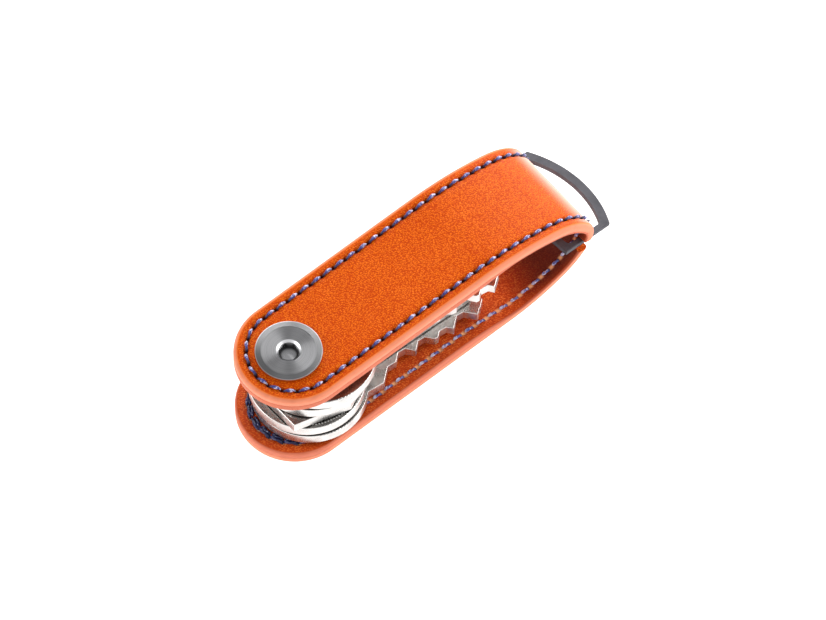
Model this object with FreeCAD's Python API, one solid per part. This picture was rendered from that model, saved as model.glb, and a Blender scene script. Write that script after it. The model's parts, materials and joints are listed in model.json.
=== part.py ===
"""Key organiser: a folded leather strap clamped by a two-piece post that five keys fan out on.

Millimetres. The origin is the centre of the post head's lower face, on the post's axis.
+X runs along the strap from the post to the fold, +Y across it, +Z up through the stack.
"""
import FreeCAD, Part
import math
import os

os.makedirs("parts", exist_ok=True)

# ---- strap ----
strap_width = 20.0
outer_layer = 1.5                  # grain leather, outside
lining_layer = 1.5                 # lining leather, inside
end_overhang = 9.0                 # post axis to the rounded ends
fold_reach = 58.0                  # post axis to the outside of the fold
key_reach = fold_reach - 19.0      # post axis to the longest blade tip, clear of the fold
fold_turns = (0.0, 20.0, 60.0, 120.0, 157.0, 180.0)      # degrees turned at the end of each bend
nose = 2                           # the bend at the tip of the fold
fold_shares = (2.34, 0.634, 0.2077, 0.610, 1.463)        # radius of each bend over the strap's height
thread_width = 0.7
thread_rise = 0.25                 # how far the thread stands out of the leather

# ---- keys ----
key_thickness = 2.15
key_play = 0.03                    # axial play on each side of a key
bow_radius = 9.9
key_rim = 0.15                     # rounding of the edges round both faces
angular_end = 0.5                  # shape of the six-sided bow, over bow_radius
angular_half = 0.7
blade_half_height = 4.3
groove_lines = ((1, -1.4), (1, 1.9), (-1, 0.3))          # face, and how far across the blade
groove_width = 1.3
groove_depth = 0.55
groove_cutter = 9.0                # radius of the wheel that mills the grooves
cut_flat = 1.3                     # flat at the bottom of each cut in a blade
cut_lead = 3.6                     # neck to the middle of the first cut
cut_pitch = 4.0
cut_step = 0.42                    # depth of one step of the cuts
cut_slope = 1.0                    # run of a cut's flank for each millimetre of depth
tip_bevel = 2.0
tip_point = 3.0                    # the larger bevel on the other corner of the tip
lanyard_hole_radius = 1.6
lanyard_hole_offset = 4.6          # bow's centre to the hole

# ---- clamping post ----
head_radius = 5.65
head_height = 1.0
head_bevel = 1.0                   # width of the sloping ring round the head's face
head_bevel_drop = 0.15
head_undercut = 0.45               # cone under the rim, as deep as it is wide
barrel_radius = 2.5
thread_radius = 2.0
thread_length = 8.5
thread_relief = 1.0                # bore left under the end of the thread
running_gap = 0.05                 # radial clearance of every turning fit
socket_across_flats = 3.0
socket_depth = 1.5
socket_turn = 15.0                 # degrees
socket_chamfer = 0.6
boss_radius = barrel_radius + 0.9  # keyed boss under the post's head
boss_flat = boss_radius - 0.5      # post axis to the boss's flat
boss_height = 2.4
sleeve_radius = barrel_radius + 0.4
sleeve_flat = sleeve_radius - 0.4
loose_gap = 0.10                   # clearance of what only has to slip in

# ---- washers in the stack ----
washer_radius = 4.6
spacer_thickness = 0.35
top_spacer_thickness = 0.65
end_washer_thickness = 0.5
lower_washer_thickness = 0.4
spring_height = 0.5
spring_stock = 0.25

# ---- D-ring ----
ring_thickness = 0.9
ring_leg = 1.0
ring_bar = 1.4
ring_band = 1.7
ring_inset = 0.2                   # strap edge to the ring's leg
ring_stand_off = 3.5               # outside of the fold to the ring's corners
ring_crown = 2.8                   # rise of the ring's outer arc
ring_corner = 0.8                  # radius in the ring's inner corners
ring_setback = 2.0                 # bar's axis behind the centre of the nose bend
ring_sink = 1.46                   # bar's axis under the centre of the nose bend
ring_shift = 0.18                  # where the ring has slid to across the strap
ring_droop = 14.0                  # degrees that the ring hangs below level
ring_skew = 5.0                    # degrees that the ring has turned in its slack
ring_swing = 3.0                   # degrees each way
ring_gap = 0.55                    # beside a leg
ring_slit_gap = 0.22               # over and under a leg
ring_edge = 0.12                   # bevel of the ring's outer edges

# the ring's legs pass through notches that stop short of the seam
notch_depth = ring_inset + ring_leg + abs(ring_shift) + ring_gap
seam_inset = notch_depth           # strap edge to the thread

# ---- each key, from the top of the stack down ----
# angle in degrees from +X; bow_offset is the post's axis to the bow's centre
keys = (
    {"name": "key_1", "angle": -9.5, "bow": "round", "bow_offset": 5.5, "reach": key_reach,
     "neck_end": 16.0, "neck_half": 6.0, "cuts": (2, 3, 1, 3, 2), "cut_side": -1},
    {"name": "key_2", "angle": -3.0, "bow": "round", "bow_offset": 4.6, "reach": key_reach - 1.5,
     "neck_end": 15.0, "neck_half": 5.6, "cuts": (1, 3, 2, 4, 2), "cut_side": -1},
    {"name": "key_3", "angle": 1.0, "bow": "angular", "bow_offset": 5.0, "reach": key_reach - 3.0,
     "neck_end": 15.5, "neck_half": 6.0, "cuts": (3, 1, 2, 3, 1), "cut_side": 1},
    {"name": "key_4", "angle": -2.0, "bow": "round", "bow_offset": 3.6, "reach": key_reach - 2.5,
     "neck_end": 14.5, "neck_half": 5.6, "cuts": (2, 4, 3, 1, 2), "cut_side": 1},
    {"name": "key_5", "angle": -6.0, "bow": "round", "bow_offset": 3.9, "reach": key_reach - 2.0,
     "neck_end": 16.7, "neck_half": 6.5, "cuts": (3, 3, 2, 4, 2), "cut_side": -1},
)

# ---- heights worked out from the sizes above ----
strap_thickness = outer_layer + lining_layer
key_slot = key_thickness + 2 * key_play
stack_height = (lower_washer_thickness + spring_height + len(keys) * key_slot
                + (len(keys) - 1) * spacer_thickness + top_spacer_thickness + end_washer_thickness)
strap_base = head_height
gap_floor = strap_base + strap_thickness
gap_roof = gap_floor + stack_height
strap_top = gap_roof + strap_thickness
strap_height = strap_top - strap_base
half_width = strap_width / 2
end_centre = half_width - end_overhang
far = 200.0                        # longer than anything in the model
margin = 1.0                       # how far a cutting shape passes the face it cuts
tiny = 1e-6


def sine(degrees):
    return math.sin(math.radians(degrees))


def cosine(degrees):
    return math.cos(math.radians(degrees))


def point(x, y, z=0.0):
    return FreeCAD.Vector(x, y, z)


def cylinder(radius, low, high, x=0.0, y=0.0):
    return Part.makeCylinder(radius, high - low, point(x, y, low))


def ring(outer, inner, low, high):
    return cylinder(outer, low, high).cut(cylinder(inner, low, high))


def box(low, high):
    size = [top - bottom for bottom, top in zip(low, high)]
    return Part.makeBox(*size, point(*low))


def prism(corners, low, high):
    """Upright prism on a plan outline of straight sides."""
    outline = Part.makePolygon([point(x, y, low) for x, y in corners + corners[:1]])
    return Part.Face(outline).extrude(point(0, 0, high - low))


def with_flat(shape, distance):
    """Cut a flat on the +Y side, so that the piece can't turn in its hole."""
    return shape.cut(box((-far, distance, -far), (far, far, far)))


def save(shape, name):
    shape.removeSplitter().exportStep("parts/" + name + ".step")


# ---------------------------------------------------------------- fold

def fold_bends():
    """(centre x, centre z, radius, start, end) of each bend, on the strap's outer surface."""
    radii = [share * strap_height for share in fold_shares]
    spans = list(zip(fold_turns, fold_turns[1:]))
    others = sum(radius * (cosine(a) - cosine(b))
                 for index, (radius, (a, b)) in enumerate(zip(radii, spans)) if index != nose)
    radii[nose] = (strap_height - others) / (cosine(spans[nose][0]) - cosine(spans[nose][1]))
    x, z = 0.0, strap_top - radii[0]
    bends = []
    for index, (radius, (a, b)) in enumerate(zip(radii, spans)):
        if index:
            step = radii[index - 1] - radius
            x += step * sine(a)
            z += step * cosine(a)
        bends.append((x, z, radius, a, b))
    shift = fold_reach - bends[nose][0] - radii[nose]
    return [(x + shift, z, radius, a, b) for x, z, radius, a, b in bends]


bends = fold_bends()
nose_x, nose_z, nose_radius = bends[nose][:3]


def fold_point(bend, turn, depth):
    x, z, radius = bend[:3]
    return point(x + (radius - depth) * sine(turn), 0, z + (radius - depth) * cosine(turn))


def fold_edges(depth):
    """Side view of the strap at a depth under its outer surface: top leg, fold, bottom leg."""
    start = point(-end_overhang - margin, 0, strap_top - depth)
    finish = point(-end_overhang - margin, 0, strap_base + depth)
    edges = [Part.makeLine(start, fold_point(bends[0], bends[0][3], depth))]
    for bend in bends:
        low, high = bend[3:]
        edges.append(Part.Arc(fold_point(bend, low, depth), fold_point(bend, (low + high) / 2, depth),
                              fold_point(bend, high, depth)).toShape())
    edges.append(Part.makeLine(fold_point(bends[-1], bends[-1][4], depth), finish))
    return edges


def fold_band(outer_depth, inner_depth):
    """The strap's side view between two depths, as wide as the strap."""
    outside = fold_edges(outer_depth)
    inside = fold_edges(inner_depth)
    caps = []
    for outer_edge, inner_edge, end in ((outside[0], inside[0], 0), (outside[-1], inside[-1], -1)):
        caps.append(Part.makeLine(outer_edge.Vertexes[end].Point, inner_edge.Vertexes[end].Point))
    outline = Part.Wire(Part.__sortEdges__(outside + inside + caps))
    return Part.Face(outline).extrude(point(0, strap_width, 0)).translated(point(0, -half_width, 0))


def plan_prism(inset):
    """Plan view of the folded strap, drawn in by an inset: a round end and straight sides."""
    round_end = cylinder(half_width - inset, -far, far, end_centre)
    sides = box((end_centre, inset - half_width, -far), (far, half_width - inset, far))
    return round_end.fuse(sides)


def hung(shape):
    """Put a shape drawn about the D-ring's bar where the bar sits in the fold."""
    return shape.rotated(point(0, 0, 0), point(0, 1, 0), ring_droop).translated(
        point(nose_x - ring_setback, 0, nose_z - ring_sink))


def side_notches():
    """Cut-outs in both edges of the fold that the legs of the D-ring pass and swing in."""
    reach = nose_radius + ring_setback
    opening = reach * math.tan(math.radians(ring_swing)) + ring_thickness / 2 + ring_slit_gap
    inner = half_width - notch_depth
    start = -ring_bar
    return [hung(box((start, inner, -opening), (far, far, opening))),
            hung(box((start, -far, -opening), (far, -inner, opening)))]


def post_holes():
    boss = with_flat(cylinder(boss_radius + loose_gap, -far, gap_floor + loose_gap),
                     boss_flat + loose_gap)
    sleeve = with_flat(cylinder(sleeve_radius + loose_gap, gap_roof - loose_gap, far),
                       sleeve_flat + loose_gap)
    return [boss, sleeve]


def leather_layer(outer_depth, inner_depth):
    layer = fold_band(outer_depth, inner_depth).common(plan_prism(0))
    return layer.cut(side_notches() + post_holes())


def seam_thread(outer_depth, inner_depth):
    """One thread of the lockstitch, as a plain band that follows the strap's edge."""
    line = plan_prism(seam_inset).cut(plan_prism(seam_inset + thread_width))
    return fold_band(outer_depth, inner_depth).common(line)


# ---------------------------------------------------------------- keys

def round_bow(key):
    return cylinder(bow_radius, 0, key_thickness, key["bow_offset"])


def angular_bow(key):
    """Six-sided bow, widest at its middle."""
    end, end_half = -angular_end * bow_radius, angular_half * bow_radius
    middle, front = key["bow_offset"], key["neck_end"] - neck_bevel(key)
    half = [(end, end_half), (middle, bow_radius), (front, key["neck_half"])]
    return prism(half + [(x, -y) for x, y in reversed(half)], 0, key_thickness)


def blade_cuts(key):
    """Bitting along one edge of the blade, one trapezoid for each cut."""
    edge = key["cut_side"] * blade_half_height
    first = key["neck_end"] + cut_lead
    cuts = []
    for place, steps in enumerate(key["cuts"]):
        middle = first + place * cut_pitch
        depth = steps * cut_step
        bottom = edge - key["cut_side"] * depth
        beyond = edge + key["cut_side"] * cut_pitch
        run = (depth + cut_pitch) * cut_slope
        cuts.append(prism([(middle - cut_flat / 2 - run, beyond), (middle - cut_flat / 2, bottom),
                           (middle + cut_flat / 2, bottom), (middle + cut_flat / 2 + run, beyond)],
                          -margin, key_thickness + margin))
    return cuts


def milled_grooves(key):
    """Grooves along both faces, which run out in the arc of the milling wheel."""
    start = key["neck_end"]
    grooves = []
    for face, across in groove_lines:
        floor = key_thickness - groove_depth if face > 0 else groove_depth
        outside = floor + face * groove_cutter
        low_z, high_z = sorted((floor, outside))
        low_y = across - groove_width / 2
        trench = box((start, low_y, low_z), (far, low_y + groove_width, high_z))
        wheel = Part.makeCylinder(groove_cutter, groove_width, point(start, low_y, outside),
                                  point(0, 1, 0))
        grooves.append(trench.fuse(wheel))
    return grooves


def blade(key):
    reach, edge = key["reach"], blade_half_height
    outline = [(0, -edge), (reach - tip_bevel, -edge), (reach, -edge + tip_bevel),
               (reach, edge - tip_point), (reach - tip_point, edge), (0, edge)]
    return prism(outline, 0, key_thickness).cut(blade_cuts(key))


def neck_bevel(key):
    return key["neck_half"] - blade_half_height


def neck(key):
    """Shoulder between the bow and the blade, which stops the key in its lock."""
    start, end, half = key["bow_offset"], key["neck_end"], key["neck_half"]
    bevel = neck_bevel(key)
    return prism([(start, -half), (end - bevel, -half), (end, -half + bevel),
                  (end, half - bevel), (end - bevel, half), (start, half)], 0, key_thickness)


def key_solid(key):
    bow = round_bow(key) if key["bow"] == "round" else angular_bow(key)
    body = bow.fuse([neck(key), blade(key)]).removeSplitter()
    rims = [edge for edge in body.Edges if edge.BoundBox.ZLength < tiny]
    body = body.makeFillet(key_rim, rims)
    pivot_hole = cylinder(barrel_radius + running_gap, -margin, key_thickness + margin)
    lanyard_hole = cylinder(lanyard_hole_radius, -margin, key_thickness + margin,
                            key["bow_offset"] + lanyard_hole_offset)
    return body.cut(milled_grooves(key) + [pivot_hole, lanyard_hole])


# ---------------------------------------------------------------- clamping post

def head(inner, outer):
    """Flat head from its strap side to its outer face: undercut rim, thin edge and sloping ring."""
    way = 1 if outer > inner else -1
    profile = [(0, inner), (head_radius - head_undercut, inner),
               (head_radius, inner + way * head_undercut),
               (head_radius, outer - way * head_bevel_drop), (head_radius - head_bevel, outer),
               (0, outer), (0, inner)]
    outline = Part.makePolygon([point(x, 0, z) for x, z in profile])
    return Part.Face(outline).revolve(point(0, 0, 0), point(0, 0, 1), 360)


def hexagon(across_flats):
    radius = across_flats / 2 / cosine(30)
    turns = [60 * corner + socket_turn for corner in range(6)]
    return [(radius * cosine(turn), radius * sine(turn)) for turn in turns]


def clamp_screw():
    top = strap_top + head_height
    shank = cylinder(thread_radius, gap_roof - thread_length, strap_top)
    socket = prism(hexagon(socket_across_flats), top - socket_depth, top + margin)
    mouth_radius = socket_across_flats / 2 + socket_chamfer
    mouth = Part.makeCone(mouth_radius - socket_chamfer, mouth_radius, socket_chamfer,
                          point(0, 0, top - socket_chamfer))
    return head(strap_top, top).fuse(shank).cut([socket, mouth])


def barrel_post():
    barrel_top = gap_roof - loose_gap
    boss = with_flat(cylinder(boss_radius, head_height, head_height + boss_height), boss_flat)
    barrel = cylinder(barrel_radius, head_height, barrel_top)
    bore = cylinder(thread_radius + running_gap, gap_roof - thread_length - thread_relief, barrel_top)
    return head(head_height, 0).fuse([boss, barrel]).cut(bore)


def screw_sleeve():
    """Keyed sleeve that stays on the screw's shank and rises with it."""
    sleeve = ring(sleeve_radius, thread_radius + running_gap, gap_roof, strap_top)
    return with_flat(sleeve, sleeve_flat)


def washer(low, high, radius=washer_radius):
    return ring(radius, barrel_radius + loose_gap, low, high)


def disc_spring(low):
    """Coned disc of thin spring steel, pressed nearly flat."""
    inner = barrel_radius + loose_gap
    rise = spring_height - spring_stock
    outline = Part.makePolygon([point(inner, 0, low + rise), point(washer_radius, 0, low),
                                point(washer_radius, 0, low + spring_stock),
                                point(inner, 0, low + spring_height), point(inner, 0, low + rise)])
    return Part.Face(outline).revolve(point(0, 0, 0), point(0, 0, 1), 360)


# ---------------------------------------------------------------- D-ring

def d_outline(bar_x, half, corner_x, inset_crown, low, high):
    """Plan of the D about its bar: a straight bar, two legs and an arc across the outer end."""
    outer_half = half_width - ring_inset
    arc_radius = (outer_half ** 2 + ring_crown ** 2) / (2 * ring_crown) - inset_crown
    crown_x = corner_x + ring_crown - inset_crown
    end_x = crown_x - arc_radius + math.sqrt(arc_radius ** 2 - half ** 2)
    edges = [Part.makeLine(point(bar_x, -half, low), point(end_x, -half, low)),
             Part.Arc(point(end_x, -half, low), point(crown_x, 0, low),
                      point(end_x, half, low)).toShape(),
             Part.makeLine(point(end_x, half, low), point(bar_x, half, low)),
             Part.makeLine(point(bar_x, half, low), point(bar_x, -half, low))]
    return Part.Face(Part.Wire(edges)).extrude(point(0, 0, high - low))


def d_ring():
    low, high = -ring_thickness / 2, ring_thickness / 2
    half = half_width - ring_inset
    corner_x = nose_radius + ring_setback + ring_stand_off
    plate = d_outline(-ring_bar / 2, half, corner_x, 0, low, high)
    rims = [edge for edge in plate.Edges if edge.BoundBox.ZLength < ring_thickness / 2]
    plate = plate.makeChamfer(ring_edge, rims)
    eye = d_outline(ring_bar / 2, half - ring_leg, corner_x, ring_band, low - margin, high + margin)
    uprights = [edge for edge in eye.Edges if edge.BoundBox.ZLength > ring_thickness]
    ring_plate = plate.cut(eye.makeFillet(ring_corner, uprights))
    bar_end = point(nose_x - ring_setback, 0, 0)
    return hung(ring_plate).rotated(bar_end, point(0, 0, 1), ring_skew).translated(point(0, ring_shift, 0))


# ---------------------------------------------------------------- build

def build_strap():
    save(leather_layer(0, outer_layer), "outer_leather")
    save(leather_layer(outer_layer, strap_thickness), "lining_leather")
    save(seam_thread(-thread_rise, 0), "needle_thread")
    save(seam_thread(strap_thickness, strap_thickness + thread_rise), "bobbin_thread")


def build_stack():
    """Washers, spacers and keys on the barrel, from the bottom up."""
    level = gap_floor
    save(washer(level, level + lower_washer_thickness), "bottom_washer")
    level += lower_washer_thickness
    save(disc_spring(level), "disc_spring")
    level += spring_height
    for place in range(len(keys) - 1, -1, -1):
        key = keys[place]
        solid = key_solid(key).rotated(point(0, 0, 0), point(0, 0, 1), key["angle"])
        save(solid.translated(point(0, 0, level + key_play)), key["name"])
        level += key_slot
        thickness = spacer_thickness if place else top_spacer_thickness
        save(washer(level, level + thickness), "key_spacer_%d" % (place + 1))
        level += thickness
    save(washer(level, level + end_washer_thickness), "top_washer")


build_strap()
build_stack()
save(clamp_screw(), "clamp_screw")
save(screw_sleeve(), "screw_sleeve")
save(barrel_post(), "barrel_post")
save(d_ring(), "d_ring")
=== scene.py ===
"""Looks of the key organiser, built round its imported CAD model. Metres, in the CAD model's frame."""
import bmesh
import bpy
import json
import math
import random
from mathutils import Matrix, Vector


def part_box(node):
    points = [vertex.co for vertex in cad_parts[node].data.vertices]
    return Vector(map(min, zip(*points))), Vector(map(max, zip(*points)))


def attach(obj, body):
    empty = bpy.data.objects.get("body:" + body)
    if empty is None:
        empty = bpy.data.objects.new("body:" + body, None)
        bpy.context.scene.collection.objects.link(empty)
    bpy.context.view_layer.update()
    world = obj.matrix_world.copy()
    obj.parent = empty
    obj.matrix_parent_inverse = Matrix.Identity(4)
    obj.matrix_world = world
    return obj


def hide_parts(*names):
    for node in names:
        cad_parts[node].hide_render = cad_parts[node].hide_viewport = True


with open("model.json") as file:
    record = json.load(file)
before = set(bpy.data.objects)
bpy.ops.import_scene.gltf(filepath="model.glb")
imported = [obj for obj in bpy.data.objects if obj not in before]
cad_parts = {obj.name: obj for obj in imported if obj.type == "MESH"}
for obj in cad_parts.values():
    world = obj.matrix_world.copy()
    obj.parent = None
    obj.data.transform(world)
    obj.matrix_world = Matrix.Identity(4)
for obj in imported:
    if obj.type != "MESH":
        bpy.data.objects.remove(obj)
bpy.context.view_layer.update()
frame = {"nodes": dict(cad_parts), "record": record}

MM = 0.001
rng = random.Random(7)

# ---- sizes read from the CAD model ----
outer_low, outer_high = (Vector(corner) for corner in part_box("outer_leather"))
lining_high = Vector(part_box("lining_leather")[1])
thread_high = Vector(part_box("needle_thread")[1])
head_high = Vector(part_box("clamp_screw")[1])
joints = frame["record"]["behaviour"]["joints"]
ring_joint = next(joint for joint in joints if joint["name"] == "ring_swing")
ring_pivot = Vector(ring_joint["pos_m"])
half_width = outer_high.y
strap_top = outer_high.z
strap_base = outer_low.z
tip_x = outer_low.x
fold_x = outer_high.x
outer_layer = strap_top - lining_high.z
strap_thickness = 2 * outer_layer  # the lining is as thick as the outer layer
head_radius = head_high.x

# ---- strap ----
FOLD_TURNS = (0.0, 20.0, 60.0, 120.0, 157.0, 180.0)      # degrees turned at the end of each bend
FOLD_SHARES = (2.34, 0.634, 0.2077, 0.610, 1.463)        # radius of each bend over the strap's height
NOSE = 2                           # the bend at the tip of the fold
EDGE_ROUND = 0.75 * MM             # rounding of the outer layer's burnished edge
LINING_ROUND = 0.4 * MM            # rounding of the lining's edge
PARING_START = 39.0 * MM           # the lining is pared thin in the fold, from here, measured from a tip
PARING_END = 52.0 * MM             # and is at its thinnest from here on
PARED_SHARE = 0.2                  # of the lining's thickness
PAINTED_SHEEN_TURNS = (36.0, 70.0, 118.0, 150.0)               # where a painted highlight pales the outer layer round the fold
PAINTED_FOLD_SHADE_TURNS = (60.0, 95.0, 160.0, 179.0)                # and where painted shade, with dark wear, darkens the lining inside it
MOST_PAINTED_FOLD_LIGHT = 0.85                # the most that the painted fold light, a highlight on the outer layer and shade on the lining, covers the grain's tone
SEAM_GROOVE = 0.09 * MM            # nick between the two layers along the edge
ALONG = 0.22 * MM                  # spacing of mesh rows along the strap
ARC_STEPS = 64                     # rows round a quarter of a rounded end
ACROSS = 12                        # columns between the two seams
GLUED_ACROSS = 4                   # columns over the face that is glued to the other layer
ROW_OFFSETS = (1.1, 0.8, 0.6, 0.45, 0.32, 0.22, 0.11, 0.0,
               -0.11, -0.22, -0.32, -0.45, -0.6, -0.75)  # mm, lengthways mesh rows beside the seam
BEND_ANGLES = (0, 11, 22, 34, 46, 58, 70, 80, 90)        # degrees, mesh rows round the edge's rounding
RING_DROOP = 14.0                  # degrees that the D-ring's legs point down by
NOTCH_DEPTH = 1.93 * MM            # of the notches for the D-ring's legs, from the strap's edge
NOTCH_HALF = 0.9975 * MM           # half their width
NOTCH_BEHIND = 1.4 * MM            # from the ring's bar back into the fold
UPPER_HOLE = 3.0 * MM              # radius of the screw's hole in the upper leg
LOWER_HOLE = 3.5 * MM              # radius of the post's hole in the lower leg
BEYOND = 50 * MM                   # reach of a cutter past the strap

# ---- leather: colours are dark, main and light; then the corner's and the rim's on a burnished edge ----
GRAIN_LEATHER = {"tones": ((0.68, 0.076, 0.001), (0.71, 0.084, 0.001), (0.74, 0.092, 0.002)),
                 # painted highlight that pales the outer layer round the fold
                 "painted_fold_light": (1.0, 0.70, 0.60),
                 "edge": ((0.92, 0.22, 0.05), (0.89, 0.30, 0.17)),
                 # painted shade in the outer layer's needle holes
                 "pit_colour_and_painted_shade": (0.03, 0.002, 0.006),
                 "grain": 0.16 * MM, "roughness": 0.42, "shine": 0.08}
LINING_LEATHER = {"tones": ((0.46, 0.045, 0.003), (0.64, 0.072, 0.004), (0.76, 0.10, 0.006)),
                  # painted shade, with dark wear, that darkens the lining inside the fold
                  "painted_fold_light": (0.07, 0.008, 0.006),
                  "edge": ((0.58, 0.10, 0.03), (0.68, 0.18, 0.095)),
                  "pit_colour_and_painted_shade": (1.0, 0.52, 0.26),
                  "grain": 0.18 * MM, "roughness": 0.55, "shine": 0.2}
# tints by grain height: darker in the valleys, and painted highlight glints on the highest peaks
GRAIN_TINTS_AND_PAINTED_GLINTS = ((0.68, (0.84, 0.72, 0.5)), (0.86, (0.98, 0.94, 0.8)), (0.98, (1.28, 2.3, 6.0)))
STREAK_TINTS = ((0.3, (0.9, 0.86, 0.84)), (0.6, (1.0, 1.0, 1.0)))
GRAIN_TURN = 39.0                  # degrees from X to the way the grain runs
GRAIN_DRAWN = 0.5                  # width of a grain cell over its length
LEATHER_BUMP = 0.06 * MM

# ---- clamp screw: brightness painted from the socket out to the rim, over the head's radius: highlights on the socket's floor, its mouth and the rim, painted shade on the socket's wall and the bevel ring ----
PAINTED_HEAD_LIGHT = ((0.0, (1.8, 1.8, 1.8)), (0.19, (1.5, 1.5, 1.5)), (0.25, (0.35, 0.35, 0.35)),
               (0.30, (0.35, 0.35, 0.35)), (0.31, (1.8, 1.8, 1.8)), (0.36, (1.8, 1.8, 1.8)),
               (0.38, (0.90, 0.90, 0.90)), (0.81, (0.90, 0.90, 0.90)), (0.83, (0.66, 0.66, 0.66)),
               (0.97, (0.66, 0.66, 0.66)), (0.985, (1.5, 1.5, 1.5)))
STEEL_TINTS = ((0.3, (0.40, 0.40, 0.41)), (0.7, (0.56, 0.56, 0.57)))
LATHE_RINGS = 52000.0              # radians of the finest tool rings over a metre of radius
LATHE_LINES = 9000                 # scale of the uneven ones

# ---- keys ----
KEYS = ("key_1", "key_2", "key_3", "key_4", "key_5")
# painted shade on the bows' flat faces
PAINTED_FACE_SHADE = (0.20, 0.19, 0.18)
PAINTED_SHADE_COVER = 0.75
LEVEL_FROM = 0.9                   # upright part of the normal above which a face counts as flat
SHADE_FADES_FROM = 8.0 * MM          # post axis to where the painted shade on the bows' flat faces starts to fade
SHADE_GONE_AT = 15.0 * MM           # and to where it is gone
MARK_HEIGHT = 0.10 * MM
DASH_PLACE = (-4.2 * MM, -4.7 * MM)
DASH_ANGLE = 8.0
DASH_SIZE = (0.3 * MM, 1.5 * MM)
RIB_CENTRE = (3.6 * MM, -0.13 * MM)
RIB_RADIUS = 8.7 * MM
RIB_START = -130.0                 # degrees
RIB_STEP = 3.3
RIB_COUNT = 18
RIB_SIZE = (0.22 * MM, 1.2 * MM)

# ---- stitches: thread colours are the painted shade where a stitch dives, blue, and the painted highlight ----
NEEDLE_HIGHLIGHT_FROM = 0.69            # the lower, the more of the thread gets the painted highlight
BOBBIN_HIGHLIGHT_FROM = 0.64
NEEDLE_COLOURS = ((0.010, 0.006, 0.04), (0.035, 0.05, 0.28), (0.72, 0.72, 0.95))
BOBBIN_COLOURS = ((0.008, 0.012, 0.07), (0.10, 0.12, 0.42), (0.70, 0.68, 0.90))
STITCH_PITCH = 2.5 * MM
STITCH_LENGTH = 2.0 * MM
STITCH_RADIUS = 0.27 * MM
STITCH_SLANT = 0.12                # sideways over lengthways
STITCH_STEPS = 14                  # points along a stitch
STITCH_RISE = 0.55                 # height of its middle over its radius
STITCH_DIVE = 1.7                  # fall of its ends over its radius
PLY_OUT = 0.4                      # centre of each of the two plies over the radius
PLY_RADIUS = 0.7                   # radius of a ply over the radius
PLY_TURN = 1.5 * math.pi           # twist along a stitch
SLACK = 0.04 * MM                  # the most that a stitch strays sideways
BOBBIN_RADIUS = 0.95 * STITCH_RADIUS
BOBBIN_LENGTH = 0.85 * STITCH_LENGTH
SEWN_OVER_RUN = 1.4 * half_width   # length of the bobbin seam, from the lower tip, that is sewn over
SEWN_OVER_RADIUS = 1.15 * STITCH_RADIUS
SEWN_OVER_LENGTH = 1.25 * STITCH_LENGTH
SEWN_OVER_PASSES = ((0.58 * MM, 0.12), (0.05 * MM, 0.16))    # inward shift of each pass, and how far it reaches into the thread's painted light: low, so that it stays near the painted shade tone
PIT_LENGTH = 0.48 * MM             # needle holes, from their middles
PIT_WIDTH = 0.34 * MM
PIT_SINK = 1.6                     # extra depth of a hole over the seam's own sinking
SINK_WIDTH = 0.55 * MM             # half width of the leather that a seam pulls in
OUTER_SINK = 0.16 * MM
LINING_SINK = 0.12 * MM
CAD_THREAD_RADIUS = 0.2 * MM
SEAM_LINE = half_width - (thread_high.y - CAD_THREAD_RADIUS)     # strap edge to the middle of the seam

# ---- finishes: scale of each kind of noise ----
PATCH_SCALE = 170                  # cloudy patches on the leather
STREAK_SCALE = 900                 # streaks along its burnished edge
SCRATCH_SCALE = 60                 # scratches in metal
CLOUD_SCALE = 420                  # cloudy wear on metal
JITTER_SCALE = 90                  # wander of the lathe's rings
FIBRE_SCALE = 2200                 # fibres of the thread
SPECKLE_SCALE = 1500               # speckle in plastic

# ---- camera, floor and lights ----
CAMERA_AZIMUTH = -38.9             # degrees
CAMERA_ELEVATION = 60.0
CAMERA_ROLL = -1.0
CAMERA_DISTANCE = 4.0
VIEW_WIDTH = 136.982 * MM          # width of the picture at the object
SENSOR = 36.0
AIM = Vector((19.83, -8.43, 24.90)) * MM
FLOOR_HALF = 3.0
FLOOR_DROP = 0.5 * MM              # below the object, so that the two never share a surface
FLOOR_TONE = 0.6
SKY_TINTS = ((0.3, (1.0, 1.0, 1.0)), (0.7, (0.28, 0.28, 0.285)))
LIGHT_AIM = Vector((0.02, 0, 0.01))
LIGHTS = (("behind_fold", (0.45, 0.35, 0.22), (0.5, 0.4), 3.4),
          ("right", (0.5, -0.35, 0.3), (0.4, 0.4), 2.2),
          ("left", (-0.5, 0.25, 0.35), (0.3, 0.4), 1.5))     # name, place, size, power


# ---------------------------------------------------------------- shader and object helpers

def material(name):
    """A new material with its nodes, links and shader."""
    mat = bpy.data.materials.new(name)
    mat.use_nodes = True
    return mat, mat.node_tree.nodes, mat.node_tree.links, mat.node_tree.nodes["Principled BSDF"]


def texture_point(nodes, links, scale):
    """Object coordinates times a scale, one value per axis."""
    source = nodes.new("ShaderNodeTexCoord")
    mapping = nodes.new("ShaderNodeMapping")
    mapping.inputs["Scale"].default_value = scale
    links.new(source.outputs["Object"], mapping.inputs["Vector"])
    return mapping.outputs["Vector"]


def noise(nodes, links, vector, scale, detail=4.0, rough=0.55):
    """Cloudy noise from 0 to 1."""
    node = nodes.new("ShaderNodeTexNoise")
    node.inputs["Scale"].default_value = scale
    node.inputs["Detail"].default_value = detail
    node.inputs["Roughness"].default_value = rough
    links.new(vector, node.inputs["Vector"])
    return node.outputs["Fac"]


def ramp(nodes, links, source, stops):
    """Colour that follows a value. Each stop is (value, colour)."""
    node = nodes.new("ShaderNodeValToRGB")
    while len(node.color_ramp.elements) < len(stops):
        node.color_ramp.elements.new(0.5)
    for element, (place, colour) in zip(node.color_ramp.elements, stops):
        element.position = place
        element.color = (*colour, 1.0)
    links.new(source, node.inputs["Fac"])
    return node.outputs["Color"]


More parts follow.
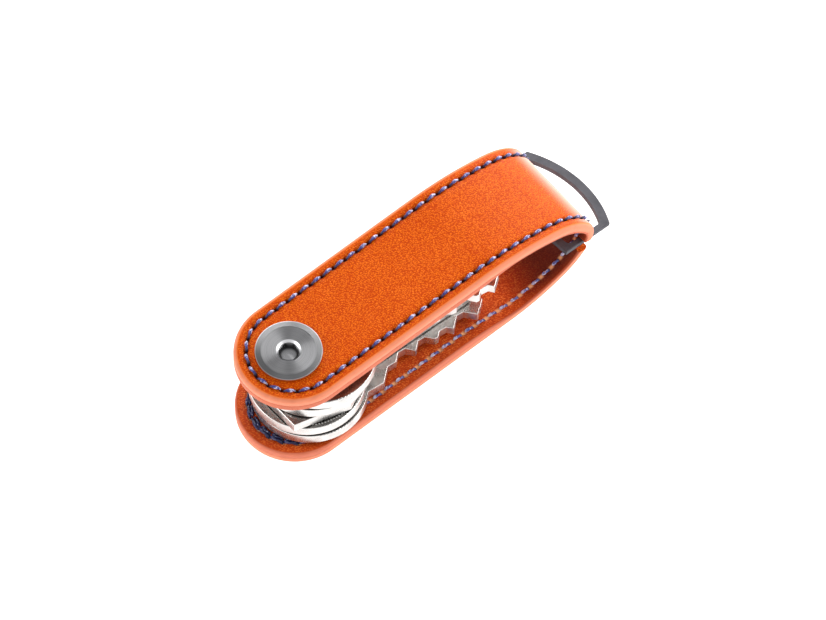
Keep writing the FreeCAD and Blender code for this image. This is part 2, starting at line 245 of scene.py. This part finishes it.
def set_socket(links, socket, value):
    """Give a socket a number, a colour or another node's output."""
    if isinstance(value, (int, float)):
        socket.default_value = value
    elif isinstance(value, tuple):
        socket.default_value = (*value, 1.0)
    else:
        links.new(value, socket)


def mix(nodes, links, amount, first, second, blend="MIX"):
    """Blend two colours."""
    node = nodes.new("ShaderNodeMix")
    node.data_type = "RGBA"
    node.blend_type = blend
    set_socket(links, node.inputs["Factor"], amount)
    set_socket(links, node.inputs["A"], first)
    set_socket(links, node.inputs["B"], second)
    return node.outputs["Result"]


def multiply(nodes, links, first, second):
    """Product of two colours."""
    return mix(nodes, links, 1.0, first, second, "MULTIPLY")


def maths(nodes, links, operation, *values):
    """One arithmetic step on numbers or other nodes' outputs."""
    node = nodes.new("ShaderNodeMath")
    node.operation = operation
    for socket, value in zip(node.inputs, values):
        set_socket(links, socket, value)
    return node.outputs["Value"]


def bump(nodes, links, shader, height, strength, distance):
    """Fine relief that shades but has no shape of its own."""
    node = nodes.new("ShaderNodeBump")
    node.inputs["Strength"].default_value = strength
    node.inputs["Distance"].default_value = distance
    links.new(height, node.inputs["Height"])
    links.new(node.outputs["Normal"], shader.inputs["Normal"])


def attribute(nodes, name):
    """Value that the mesh carries under a name."""
    node = nodes.new("ShaderNodeAttribute")
    node.attribute_name = name
    return node.outputs["Fac"]


def grain_height(nodes, links, size):
    """Creased grain: long cells that run one way over the hide, with finer noise on them."""
    turn = nodes.new("ShaderNodeMapping")
    turn.inputs["Rotation"].default_value = (0, 0, math.radians(GRAIN_TURN))
    links.new(texture_point(nodes, links, (1, 1, 1)), turn.inputs["Vector"])
    stretch = nodes.new("ShaderNodeMapping")
    stretch.inputs["Scale"].default_value = (GRAIN_DRAWN, 1.0, 1.0)
    links.new(turn.outputs["Vector"], stretch.inputs["Vector"])
    point = stretch.outputs["Vector"]
    cells = nodes.new("ShaderNodeTexVoronoi")
    cells.feature = "SMOOTH_F1"
    cells.inputs["Scale"].default_value = 1 / size
    cells.inputs["Smoothness"].default_value = 0.4
    links.new(point, cells.inputs["Vector"])
    pebbles = maths(nodes, links, "SUBTRACT", 1.0, cells.outputs["Distance"])
    fine = noise(nodes, links, point, 2.2 / size, 4.0, 0.6)
    return maths(nodes, links, "MULTIPLY_ADD", fine, 0.6, pebbles)


def leather(name, tones, painted_fold_light, edge, pit_colour_and_painted_shade, grain, roughness, shine):
    """Dyed leather: grained face with painted highlight glints on the grain's peaks, painted light where
    it is bent hard round the fold (a highlight on the outer layer, shade on the lining), a colour in the
    needle holes, and a smooth burnished edge.
    """
    mat, nodes, links, shader = material(name)
    point = texture_point(nodes, links, (1, 1, 1))
    height = grain_height(nodes, links, grain)
    patches = noise(nodes, links, point, PATCH_SCALE, 3.0)
    dark, main, light = tones
    mottled = ramp(nodes, links, patches, ((0.25, dark), (0.5, main), (0.75, light)))
    # grain tint with painted highlight glints on the peaks
    grained = multiply(nodes, links, mottled, ramp(nodes, links, height, GRAIN_TINTS_AND_PAINTED_GLINTS))
    # painted fold light, by the 'stretch' attribute: a pale highlight on the outer layer, painted shade
    # with dark wear on the lining
    face = mix(nodes, links, attribute(nodes, "stretch"), grained, painted_fold_light)
    at_edge = attribute(nodes, "edge")
    streaks = noise(nodes, links, texture_point(nodes, links, (0.2, 1, 1)), STREAK_SCALE, 3.0)
    corner, rim = edge
    burnish = ramp(nodes, links, at_edge, ((0.0, main), (0.35, corner), (1.0, rim)))
    worn_burnish = multiply(nodes, links, burnish, ramp(nodes, links, streaks, STREAK_TINTS))
    shown = maths(nodes, links, "MINIMUM", 1.0, maths(nodes, links, "MULTIPLY", at_edge, 4.0))
    colour = mix(nodes, links, shown, face, worn_burnish)
    # needle holes take the pit colour: painted shade on the outer layer, a paler colour on the lining
    links.new(mix(nodes, links, attribute(nodes, "pit"), colour, pit_colour_and_painted_shade), shader.inputs["Base Color"])
    wear = maths(nodes, links, "MULTIPLY_ADD", patches, 0.16, roughness - 0.08)
    links.new(wear, shader.inputs["Roughness"])
    smooth = maths(nodes, links, "SUBTRACT", 1.0, shown)
    bumps = maths(nodes, links, "MULTIPLY", height, maths(nodes, links, "MULTIPLY_ADD", smooth, 0.9, 0.1))
    bump(nodes, links, shader, bumps, 0.6, LEATHER_BUMP)
    shader.inputs["Specular IOR Level"].default_value = shine
    return mat


def metal(name, colour, roughness, scratch_scale, scratch_depth, worn=0.10, metallic=1.0, shine=0.5):
    """Metal with fine scratches along X, cloudy wear and uneven gloss."""
    mat, nodes, links, shader = material(name)
    brushed = texture_point(nodes, links, scratch_scale)
    lines = noise(nodes, links, brushed, SCRATCH_SCALE, 6.0, 0.7)
    clouds = noise(nodes, links, texture_point(nodes, links, (1, 1, 1)), CLOUD_SCALE, 4.0)
    dull = tuple(0.72 * c for c in colour)
    tint = ramp(nodes, links, clouds, ((0.3, dull), (0.6, colour)))
    links.new(tint, shader.inputs["Base Color"])
    shader.inputs["Metallic"].default_value = metallic
    shader.inputs["Specular IOR Level"].default_value = shine
    painted_light_reach = maths(nodes, links, "MULTIPLY_ADD", clouds, 2 * worn, roughness - worn)
    links.new(painted_light_reach, shader.inputs["Roughness"])
    bump(nodes, links, shader, lines, 0.25, scratch_depth)
    return mat


def turned_steel():
    """Steel faced on a lathe: fine rings about the post's axis that draw the light into fans, with painted
    highlights and shade in rings by radius.
    """
    mat, nodes, links, shader = material("turned_steel")
    point = texture_point(nodes, links, (1, 1, 0))
    length = nodes.new("ShaderNodeVectorMath")
    length.operation = "LENGTH"
    links.new(point, length.inputs[0])
    radius = length.outputs["Value"]
    jitter = noise(nodes, links, texture_point(nodes, links, (1, 1, 1)), JITTER_SCALE, 2.0)
    rings = maths(nodes, links, "SINE", maths(nodes, links, "MULTIPLY_ADD", radius, LATHE_RINGS, jitter))
    line = nodes.new("ShaderNodeTexNoise")
    line.noise_dimensions = "1D"
    line.inputs["Scale"].default_value = LATHE_LINES
    line.inputs["Detail"].default_value = 4.0
    links.new(radius, line.inputs["W"])
    height = maths(nodes, links, "MULTIPLY_ADD", rings, 0.25, line.outputs["Fac"])
    tint = ramp(nodes, links, line.outputs["Fac"], STEEL_TINTS)
    share = maths(nodes, links, "DIVIDE", radius, head_radius)
    # painted highlights and shade in rings by radius over the head
    painted_light_zones = ramp(nodes, links, share, PAINTED_HEAD_LIGHT)
    links.new(multiply(nodes, links, tint, painted_light_zones), shader.inputs["Base Color"])
    shader.inputs["Metallic"].default_value = 1.0
    shader.inputs["Roughness"].default_value = 0.34
    shader.inputs["Anisotropic"].default_value = 0.85
    tangent = nodes.new("ShaderNodeTangent")
    tangent.direction_type = "RADIAL"
    tangent.axis = "Z"
    links.new(tangent.outputs["Tangent"], shader.inputs["Tangent"])
    bump(nodes, links, shader, height, 0.15, 0.004 * MM)
    return mat


def thread_material(name, dive_shade, blue, painted_highlight, highlight_from):
    """Waxed twisted thread: painted shade where it dives, blue along it, and a painted highlight on the
    fibres toward one end.
    """
    mat, nodes, links, shader = material(name)
    point = texture_point(nodes, links, (1, 1, 1))
    fibres = noise(nodes, links, point, FIBRE_SCALE, 4.0, 0.7)
    along = attribute(nodes, "along")
    # painted shade at both ends, where the stitch dives, and blue between
    body = ramp(nodes, links, along, ((0.08, dive_shade), (0.4, blue), (0.85, blue), (0.99, dive_shade)))
    lit = maths(nodes, links, "MULTIPLY_ADD", along, 0.3, fibres)
    shown = ramp(nodes, links, lit, ((highlight_from, (0.0, 0.0, 0.0)), (highlight_from + 0.1, (1.0, 1.0, 1.0))))
    links.new(mix(nodes, links, shown, body, painted_highlight), shader.inputs["Base Color"])
    shader.inputs["Roughness"].default_value = 0.34
    shader.inputs["Specular IOR Level"].default_value = 0.7
    bump(nodes, links, shader, fibres, 0.4, 0.03 * MM)
    return mat


def plastic(name, colour):
    """Dull moulded plastic with a faint speckle."""
    mat, nodes, links, shader = material(name)
    speckle = noise(nodes, links, texture_point(nodes, links, (1, 1, 1)), SPECKLE_SCALE, 3.0)
    links.new(ramp(nodes, links, speckle, ((0.3, colour), (0.7, tuple(1.6 * c for c in colour)))),
              shader.inputs["Base Color"])
    shader.inputs["Roughness"].default_value = 0.5
    bump(nodes, links, shader, speckle, 0.2, 0.01 * MM)
    return mat


def mesh_from(bm, name):
    """Turn a finished bmesh into a mesh."""
    mesh = bpy.data.meshes.new(name)
    bm.to_mesh(mesh)
    bm.free()
    return mesh


def link_object(name, data):
    """A new object in the scene."""
    piece = bpy.data.objects.new(name, data)
    bpy.context.collection.objects.link(piece)
    return piece


def add_object(name, mesh, mat):
    """A piece of the object, with its material."""
    piece = link_object(name, mesh)
    mesh.materials.clear()
    mesh.materials.append(mat)
    return piece


# ---------------------------------------------------------------- the fold

def sine(degrees):
    return math.sin(math.radians(degrees))


def cosine(degrees):
    return math.cos(math.radians(degrees))


def eased(share):
    """A share from 0 to 1 with a soft start and finish."""
    return share * share * (3.0 - 2.0 * share)


def fold_bends():
    """(centre x, centre z, radius, start, end) of each bend, on the strap's outer surface."""
    height = strap_top - strap_base
    radii = [share * height for share in FOLD_SHARES]
    spans = list(zip(FOLD_TURNS, FOLD_TURNS[1:]))
    others = sum(radius * (cosine(a) - cosine(b))
                 for index, (radius, (a, b)) in enumerate(zip(radii, spans)) if index != NOSE)
    radii[NOSE] = (height - others) / (cosine(spans[NOSE][0]) - cosine(spans[NOSE][1]))
    x, z = 0.0, strap_top - radii[0]
    bends = []
    for index, (radius, (a, b)) in enumerate(zip(radii, spans)):
        if index:
            step = radii[index - 1] - radius
            x += step * sine(a)
            z += step * cosine(a)
        bends.append((x, z, radius, a, b))
    shift = fold_x - bends[NOSE][0] - radii[NOSE]
    return [(x + shift, z, radius, a, b) for x, z, radius, a, b in bends]


bends = fold_bends()
top_run = bends[0][0] - tip_x
bend_runs = [radius * math.radians(b - a) for _, _, radius, a, b in bends]
strap_length = top_run + sum(bend_runs) + bends[-1][0] - tip_x
end_s = half_width                 # run from a tip to where the sides are straight


def pared(s, depth):
    """Depth in the strap where the lining is pared thin. s runs along the outer surface."""
    run = min(s, strap_length - s)
    share = min(max((run - PARING_START) / (PARING_END - PARING_START), 0.0), 1.0)
    left = 1.0 - (1.0 - PARED_SHARE) * eased(share)
    return min(depth, outer_layer) + max(depth - outer_layer, 0.0) * left


def folded(s, y, flat_depth):
    """Where a point of the flat strap lies once it is folded."""
    depth = pared(s, flat_depth)
    if s <= top_run:
        return Vector((tip_x + s, y, strap_top - depth))
    s -= top_run
    for (x, z, radius, a, b), run in zip(bends, bend_runs):
        if s <= run:
            turn = a + (b - a) * s / run
            return Vector((x + (radius - depth) * sine(turn), y, z + (radius - depth) * cosine(turn)))
        s -= run
    return Vector((bends[-1][0] - s, y, strap_base + depth))


def turn_at(s):
    """Degrees that the strap has turned at a distance from the upper leg's tip."""
    s -= top_run
    for (_, _, _, a, b), run in zip(bends, bend_runs):
        if s <= run:
            return a + (b - a) * max(s, 0.0) / run
        s -= run
    return bends[-1][4]


def painted_fold_light_amount(s, painted_light_turns):
    """How much painted fold light the leather gets, from 0 on the legs to its most round the nose."""
    turn = turn_at(s)
    start, full, ease, finish = painted_light_turns
    share = min((turn - start) / (full - start), (finish - turn) / (finish - ease), 1.0)
    return MOST_PAINTED_FOLD_LIGHT * eased(max(share, 0.0))


def edge_stations():
    """Points along one side of the flat strap: (s of the centre, cosine, sine) round the ends."""
    stations = [(end_s, -cosine(90 * i / ARC_STEPS), sine(90 * i / ARC_STEPS)) for i in range(ARC_STEPS)]
    count = round((strap_length - 2 * end_s) / ALONG)
    straight = (strap_length - 2 * end_s) / count
    stations += [(end_s + i * straight, 0.0, 1.0) for i in range(count + 1)]
    stations += [(strap_length - end_s, sine(90 * i / ARC_STEPS), cosine(90 * i / ARC_STEPS))
                 for i in range(1, ARC_STEPS + 1)]
    return stations


STATIONS = edge_stations()


def outline_point(station, inset):
    """(s, y) of a station, at a distance in from the strap's edge."""
    centre, along, across = station
    reach = half_width - inset
    return centre + reach * along, reach * across


def seam_length():
    """Distance round the seam to each station, down one side."""
    total, places, last = 0.0, [], None
    for station in STATIONS:
        here = Vector((*outline_point(station, SEAM_LINE), 0))
        total += (here - last).length if last else 0.0
        places.append(total)
        last = here
    return places


SEAM_PLACES = seam_length()
STITCHES = round(SEAM_PLACES[-1] / STITCH_PITCH)


def pit_amount(place, inset):
    """1 in the middle of a needle hole, falling to 0 round it."""
    pitch = SEAM_PLACES[-1] / STITCHES
    along = (place / pitch - round(place / pitch)) * pitch
    across = inset - SEAM_LINE
    return math.exp(-(along / PIT_LENGTH) ** 4 - (across / PIT_WIDTH) ** 4)


def seam_sink(place, inset, depth):
    """How far the leather is pulled in by the stitches, deepest at the holes between them."""
    across = (inset - SEAM_LINE) / SINK_WIDTH
    return depth * (math.exp(-across * across) + PIT_SINK * pit_amount(place, inset))


def layer_rows(depth_face, depth_glue, round_radius):
    """(inset, depth) of the mesh rows of one layer from the seam's inner side to the glue face."""
    way = 1 if depth_glue > depth_face else -1
    face = [(SEAM_LINE + offset * MM, depth_face) for offset in ROW_OFFSETS]
    bend = [(round_radius * (1 - sine(angle)), depth_face + way * round_radius * (1 - cosine(angle)))
            for angle in BEND_ANGLES]
    side = [(share * SEAM_GROOVE, depth_glue - way * rise * SEAM_GROOVE)
            for share, rise in ((0.0, 1.4), (0.3, 0.5), (1.0, 0.0))]
    return face + bend + side


def leather_mesh(name, depth_face, depth_glue, round_radius, sink, painted_light_turns):
    """One folded layer as a closed mesh, which carries how near the edge and a hole it is, and how much
    painted fold light it gets.
    """
    way = 1 if depth_glue > depth_face else -1
    bm = bmesh.new()
    edge_layer = bm.verts.layers.float.new("edge")
    pit_layer = bm.verts.layers.float.new("pit")
    # the 'stretch' attribute holds how much painted fold light each point gets
    painted_fold_light_layer = bm.verts.layers.float.new("stretch")
    rows = layer_rows(depth_face, depth_glue, round_radius)
    last = len(STATIONS) - 1

    def vertex(s, y, depth, edge, pit):
        v = bm.verts.new(folded(s, y, depth))
        v[edge_layer] = edge
        v[pit_layer] = pit
        v[painted_fold_light_layer] = painted_fold_light_amount(s, painted_light_turns)
        return v

    def edge_amount(inset):
        turned = (round_radius * 1.05 - inset) / (round_radius * 0.6)
        return min(max(turned, 0.0), 1.0)

    rings = []
    for inset, depth in rows:
        ring = []
        for index, station in enumerate(STATIONS):
            s, y = outline_point(station, inset)
            pulled = depth + way * seam_sink(SEAM_PLACES[index], inset, sink)
            marks = edge_amount(inset), pit_amount(SEAM_PLACES[index], inset)
            if index in (0, last):
                tip = vertex(s, 0.0, pulled, *marks)
                ring.append((tip, tip))
            else:
                ring.append((vertex(s, y, pulled, *marks), vertex(s, -y, pulled, *marks)))
        rings.append(ring)
    for inner, outer in zip(rings, rings[1:]):
        for index in range(last):
            for side in (0, 1):
                quad = [inner[index][side], inner[index + 1][side],
                        outer[index + 1][side], outer[index][side]]
                bm.faces.new(quad if side == 0 else quad[::-1])
    fill_between(bm, rings[0], rows[0], ACROSS, vertex, False)
    fill_between(bm, rings[-1], rows[-1], GLUED_ACROSS, vertex, True)
    bmesh.ops.recalc_face_normals(bm, faces=bm.faces)
    mesh = mesh_from(bm, name)
    mesh.shade_smooth()
    return mesh


def fill_between(bm, ring, row, columns, vertex, flip):
    """Close a face of the strap with rows of quads from one side of a ring to the other."""
    inset, depth = row
    last = len(ring) - 1
    lines = []
    for index, (left, right) in enumerate(ring):
        if left is right:
            lines.append([left] * (columns + 1))
            continue
        s, y = outline_point(STATIONS[index], inset)
        inner = [vertex(s, y * (1 - 2 * step / columns), depth, 0.0, 0.0) for step in range(1, columns)]
        lines.append([left, *inner, right])
    for index in range(last):
        for step in range(columns):
            corners = [lines[index][step], lines[index][step + 1],
                       lines[index + 1][step + 1], lines[index + 1][step]]
            unique = list(dict.fromkeys(corners))
            bm.faces.new(unique[::-1] if flip else unique)


def block_cutter(name, low, high, place):
    """Block between two corners, set in its place by a matrix."""
    bm = bmesh.new()
    bmesh.ops.create_cube(bm, size=1.0)
    for v in bm.verts:
        v.co = place @ Vector(tuple(low[i] + (v.co[i] + 0.5) * (high[i] - low[i]) for i in range(3)))
    return link_object(name, mesh_from(bm, name))


def round_cutter(name, radius, low, high):
    """Upright cylinder on the post's axis, between two heights."""
    bm = bmesh.new()
    bmesh.ops.create_cone(bm, cap_ends=True, segments=64, radius1=radius, radius2=radius, depth=high - low,
                          matrix=Matrix.Translation((0, 0, (low + high) / 2)))
    return link_object(name, mesh_from(bm, name))


def apply_modifiers(piece):
    """Make what the modifiers show the piece's own mesh."""
    graph = bpy.context.evaluated_depsgraph_get()
    mesh = bpy.data.meshes.new_from_object(piece.evaluated_get(graph))
    piece.modifiers.clear()
    piece.data = mesh


def carve(piece, cutters):
    """Take the cutters' shapes out of a piece."""
    for tool in cutters:
        modifier = piece.modifiers.new(tool.name, "BOOLEAN")
        modifier.operation = "DIFFERENCE"
        modifier.solver = "EXACT"
        modifier.object = tool
    bpy.context.view_layer.update()
    apply_modifiers(piece)


def remove(pieces):
    """Delete helper objects."""
    for piece in pieces:
        bpy.data.objects.remove(piece, do_unlink=True)


def notch_cutters():
    """Notches in both edges that the D-ring's legs pass through."""
    droop = Matrix.Rotation(math.radians(RING_DROOP), 4, "Y")
    place = Matrix.Translation((ring_pivot.x, 0, ring_pivot.z)) @ droop
    inner = half_width - NOTCH_DEPTH
    cutters = []
    for name, y_low, y_high in (("notch_far", inner, BEYOND), ("notch_near", -BEYOND, -inner)):
        low, high = (-NOTCH_BEHIND, y_low, -NOTCH_HALF), (BEYOND, y_high, NOTCH_HALF)
        cutters.append(block_cutter(name, low, high, place))
    return cutters


def hole_cutters():
    """Holes for the clamping post, through one leg each."""
    through = 1.5 * strap_thickness
    return [round_cutter("upper_hole", UPPER_HOLE, strap_top - through, BEYOND),
            round_cutter("lower_hole", LOWER_HOLE, -BEYOND, strap_base + through)]


def make_strap():
    """The strap's two layers, cut out for the ring and the post."""
    grain = leather("grain_leather", **GRAIN_LEATHER)
    mesh = leather_mesh("strap_outer_leather", 0.0, outer_layer, EDGE_ROUND, OUTER_SINK, PAINTED_SHEEN_TURNS)
    outer = add_object("strap_outer_leather", mesh, grain)
    flesh = leather("lining_leather", **LINING_LEATHER)
    mesh = leather_mesh("strap_lining_leather", strap_thickness, outer_layer, LINING_ROUND,
                        LINING_SINK, PAINTED_FOLD_SHADE_TURNS)
    lining = add_object("strap_lining_leather", mesh, flesh)
    cutters = notch_cutters() + hole_cutters()
    for piece, node in ((outer, "outer_leather"), (lining, "lining_leather")):
        carve(piece, cutters)
        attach(piece, "strap")
        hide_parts(node)
    remove(cutters)


# ---------------------------------------------------------------- stitches

def seam_point(distance, side, depth):
    """Point of the seam at a distance from the upper leg's tip and a depth in the strap."""
    distance = min(max(distance, 0.0), SEAM_PLACES[-1])
    for index in range(1, len(SEAM_PLACES)):
        if SEAM_PLACES[index] >= distance:
            break
    share = (distance - SEAM_PLACES[index - 1]) / (SEAM_PLACES[index] - SEAM_PLACES[index - 1])
    s0, y0 = outline_point(STATIONS[index - 1], SEAM_LINE)
    s1, y1 = outline_point(STATIONS[index], SEAM_LINE)
    return folded(s0 + (s1 - s0) * share, side * (y0 + (y1 - y0) * share), depth)


def stitch_tube(bm, along_layer, centre_line, radius, painted_light_reach, sides=8):
    """Sweep a round section, narrower at both ends, along a list of points."""
    rings = []
    last = len(centre_line) - 1
    for index, here in enumerate(centre_line):
        forward = (centre_line[min(index + 1, last)] - centre_line[max(index - 1, 0)]).normalized()
        side = forward.orthogonal().normalized()
        up = forward.cross(side)
        size = radius * (1.0 - 0.5 * abs(2 * index / last - 1) ** 4)
        ring = []
        for corner in range(sides):
            angle = 2 * math.pi * corner / sides
            v = bm.verts.new(here + size * (math.cos(angle) * side + math.sin(angle) * up))
            # how far along the thread's painted shade, blue and painted highlight a point reaches
            v[along_layer] = painted_light_reach * index / last
            ring.append(v)
        rings.append(ring)
    for first, second in zip(rings, rings[1:]):
        near = min(range(sides), key=lambda turn: (second[turn].co - first[0].co).length)
        for corner in range(sides):
            a, b = first[corner], first[(corner + 1) % sides]
            c, d = second[(corner + 1 + near) % sides], second[(corner + near) % sides]
            bm.faces.new((a, b, c, d))
    bm.faces.new(rings[0][::-1])
    bm.faces.new(rings[-1])


def ply_lines(middle, side, depth_face, lift, radius, shift, length):
    """Centre lines of the two plies of one stitch, which dives into the leather at both ends."""
    lines = []
    for ply in (0, math.pi):
        line = []
        for step in range(STITCH_STEPS + 1):
            share = step / STITCH_STEPS
            along = middle + (share - 0.5) * length
            dive = abs(2 * share - 1) ** 4
            height = lift * radius * (STITCH_RISE - STITCH_DIVE * dive)
            twist = ply + PLY_TURN * share
            here = seam_point(along, side, depth_face)
            ahead = seam_point(along + 0.05 * MM, side, depth_face)
            out = (seam_point(along, side, depth_face - 0.1 * MM) - here).normalized()
            forward = (ahead - here).normalized()
            across = forward.cross(out)
            sideways = side * shift - STITCH_SLANT * (share - 0.5) * length
            line.append(here + out * (height + PLY_OUT * radius * math.sin(twist))
                        + across * (PLY_OUT * radius * math.cos(twist) + sideways))
        lines.append(line)
    return lines


def make_seam(name, node, mat, depth_face, lift, passes):
    """Lockstitches round one face. Each pass is (from, to, radius, shift, length, painted light reach)."""
    bm = bmesh.new()
    along_layer = bm.verts.layers.float.new("along")
    pitch = SEAM_PLACES[-1] / STITCHES
    for start, finish, radius, shift, length, painted_light_reach in passes:
        for side in (1, -1):
            for number in range(math.ceil(start / pitch), round(finish / pitch)):
                slack = rng.uniform(-SLACK, SLACK)
                middle = (number + 0.5) * pitch
                for line in ply_lines(middle, side, depth_face, lift, radius, shift + slack, length):
                    stitch_tube(bm, along_layer, line, PLY_RADIUS * radius, painted_light_reach)
    bmesh.ops.recalc_face_normals(bm, faces=bm.faces)
    mesh = mesh_from(bm, name)
    mesh.shade_smooth()
    piece = add_object(name, mesh, mat)
    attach(piece, "strap")
    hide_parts(node)


def make_stitching():
    """Even stitches outside, and thinner ones inside that are sewn over twice at the lower end."""
    whole = SEAM_PLACES[-1]
    needle = thread_material("needle_thread", *NEEDLE_COLOURS, NEEDLE_HIGHLIGHT_FROM)
    bobbin = thread_material("bobbin_thread", *BOBBIN_COLOURS, BOBBIN_HIGHLIGHT_FROM)
    make_seam("needle_stitches", "needle_thread", needle, 0.0, 1,
              [(0, whole, STITCH_RADIUS, 0.0, STITCH_LENGTH, 1.0)])
    overlap = whole - SEWN_OVER_RUN
    passes = [(0, overlap, BOBBIN_RADIUS, 0.0, BOBBIN_LENGTH, 1.0)]
    for shift, painted_light_reach in SEWN_OVER_PASSES:
        passes.append((overlap, whole, SEWN_OVER_RADIUS, shift, SEWN_OVER_LENGTH, painted_light_reach))
    make_seam("bobbin_stitches", "bobbin_thread", bobbin, strap_thickness, -1, passes)


# ---------------------------------------------------------------- keys and other metal

def paint(finish, *names):
    """Put a finish on CAD nodes whose own shapes are shown."""
    for name in names:
        node = frame["nodes"][name]
        for place in range(len(node.material_slots)):
            node.material_slots[place].material = finish


def nickel_plate():
    """Nickel, bright on the cut edges and blades, with painted shade on the flat faces of the bows."""
    mat = metal("nickel_plate", (0.80, 0.785, 0.76), 0.28, (1, 12, 12), 0.003 * MM, metallic=0.96)
    nodes, links = mat.node_tree.nodes, mat.node_tree.links
    source = nodes.new("ShaderNodeTexCoord")
    facing = nodes.new("ShaderNodeSeparateXYZ")
    place = nodes.new("ShaderNodeSeparateXYZ")
    links.new(source.outputs["Normal"], facing.inputs["Vector"])
    links.new(source.outputs["Object"], place.inputs["Vector"])
    level = maths(nodes, links, "ABSOLUTE", facing.outputs["Z"])
    flat = maths(nodes, links, "GREATER_THAN", level, LEVEL_FROM)
    fade = nodes.new("ShaderNodeMapRange")
    fade.inputs["From Min"].default_value = SHADE_GONE_AT
    fade.inputs["From Max"].default_value = SHADE_FADES_FROM
    links.new(place.outputs["X"], fade.inputs["Value"])
    on_bow = maths(nodes, links, "MULTIPLY", flat, fade.outputs["Result"])
    amount = maths(nodes, links, "MULTIPLY", on_bow, PAINTED_SHADE_COVER)
    base = nodes["Principled BSDF"].inputs["Base Color"]
    # painted shade over the bows' flat faces
    links.new(mix(nodes, links, amount, base.links[0].from_socket, PAINTED_FACE_SHADE), base)
    return mat


def paint_metal_and_plastic():
    """Finishes of everything but the strap and its thread."""
    nickel = nickel_plate()
    paint(nickel, *KEYS)
    mark_keys(nickel)
    paint(turned_steel(), "clamp_screw", "barrel_post")
    ring_steel = metal("dark_ring_steel", (0.105, 0.105, 0.12), 0.6, (1, 1, 1), 0.003 * MM,
                       worn=0.05, metallic=0.0, shine=0.15)
    paint(ring_steel, "d_ring")
    paint(metal("spring_steel", (0.42, 0.42, 0.43), 0.3, (1, 1, 1), 0.004 * MM), "disc_spring")
    paint(plastic("black_nylon", (0.018, 0.018, 0.02)), "screw_sleeve", "top_washer", "bottom_washer",
          *("key_spacer_%d" % number for number in range(1, len(KEYS) + 1)))


def small_block(bm, middle, size, turn):
    """Block that narrows to its top, turned about Z."""
    place = Matrix.Translation(middle) @ Matrix.Rotation(turn, 4, "Z")
    corners = bmesh.ops.create_cube(bm, size=1.0)["verts"]
    for v in corners:
        narrow = 0.8 if v.co.z > 0 else 1.0
        v.co = place @ Vector((v.co.x * size[0] * narrow, v.co.y * size[1] * narrow, v.co.z * size[2]))


def add_marks(name, key, mat, size, places):
    """Raised marks of one size on a key's upper face. Each place is (x, y, angle)."""
    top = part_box(key)[1][2]
    width, length = size
    bm = bmesh.new()
    for x, y, angle in places:
        small_block(bm, Vector((x, y, top)), (width, length, 2 * MARK_HEIGHT), math.radians(angle))
    piece = add_object(name, mesh_from(bm, name), mat)
    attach(piece, key)


def mark_keys(mat):
    """A short raised dash on one bow and a band of plain ribs along the edge of another."""
    add_marks("key_3_dash", "key_3", mat, DASH_SIZE, [(*DASH_PLACE, DASH_ANGLE)])
    ribs = []
    for number in range(RIB_COUNT):
        angle = RIB_START + number * RIB_STEP
        x = RIB_CENTRE[0] + RIB_RADIUS * cosine(angle)
        y = RIB_CENTRE[1] + RIB_RADIUS * sine(angle)
        ribs.append((x, y, angle - 90))
    add_marks("key_4_ribs", "key_4", mat, RIB_SIZE, ribs)


# ---------------------------------------------------------------- studio

def make_camera():
    """Long lens, far off, so that the view is almost without perspective."""
    camera = link_object("camera", bpy.data.cameras.new("camera"))
    reach = cosine(CAMERA_ELEVATION)
    direction = Vector((sine(CAMERA_AZIMUTH) * reach, -cosine(CAMERA_AZIMUTH) * reach,
                        sine(CAMERA_ELEVATION)))
    look = (-direction).to_track_quat("-Z", "Y").to_matrix().to_4x4()
    roll = Matrix.Rotation(math.radians(CAMERA_ROLL), 4, "Z")
    camera.matrix_world = Matrix.Translation(AIM + CAMERA_DISTANCE * direction) @ look @ roll
    camera.data.sensor_width = SENSOR
    camera.data.lens = SENSOR * CAMERA_DISTANCE / VIEW_WIDTH
    camera.data.clip_start = 0.01
    bpy.context.scene.camera = camera


def make_floor():
    """Plain pale floor, lit evenly."""
    mesh = bpy.data.meshes.new("floor")
    corners = [(x * FLOOR_HALF, y * FLOOR_HALF, -FLOOR_DROP)
               for x, y in ((-1, -1), (1, -1), (1, 1), (-1, 1))]
    mesh.from_pydata(corners, [], [(0, 1, 2, 3)])
    floor = link_object("floor", mesh)
    mat, _, _, shader = material("paper_floor")
    shader.inputs["Base Color"].default_value = (FLOOR_TONE, FLOOR_TONE, FLOOR_TONE, 1)
    shader.inputs["Roughness"].default_value = 0.9
    shader.inputs["Emission Color"].default_value = (1, 1, 1, 1)
    shader.inputs["Emission Strength"].default_value = 1.0
    mesh.materials.append(mat)


def area_light(name, place, size, power):
    """Rectangular lamp that faces the object."""
    lamp = bpy.data.lights.new(name, "AREA")
    lamp.shape = "RECTANGLE"
    lamp.size, lamp.size_y = size
    lamp.energy = power
    light = link_object(name, lamp)
    light.location = place
    light.rotation_euler = (Vector(place) - LIGHT_AIM).to_track_quat("Z", "Y").to_euler()


def make_studio():
    """Sky that is dim overhead and bright all round, with three soft lamps."""
    world = bpy.data.worlds.new("studio")
    bpy.context.scene.world = world
    world.use_nodes = True
    nodes, links = world.node_tree.nodes, world.node_tree.links
    background = nodes["Background"]
    source = nodes.new("ShaderNodeTexCoord")
    split = nodes.new("ShaderNodeSeparateXYZ")
    links.new(source.outputs["Generated"], split.inputs["Vector"])
    links.new(ramp(nodes, links, split.outputs["Z"], SKY_TINTS), background.inputs["Color"])
    background.inputs["Strength"].default_value = 1.0
    for light in LIGHTS:
        area_light(*light)


def make_scene():
    """Everything that is seen."""
    make_strap()
    make_stitching()
    paint_metal_and_plastic()
    make_floor()
    make_studio()
    make_camera()
    bpy.context.scene.view_settings.view_transform = "Standard"


make_scene()

bpy.context.view_layer.update()
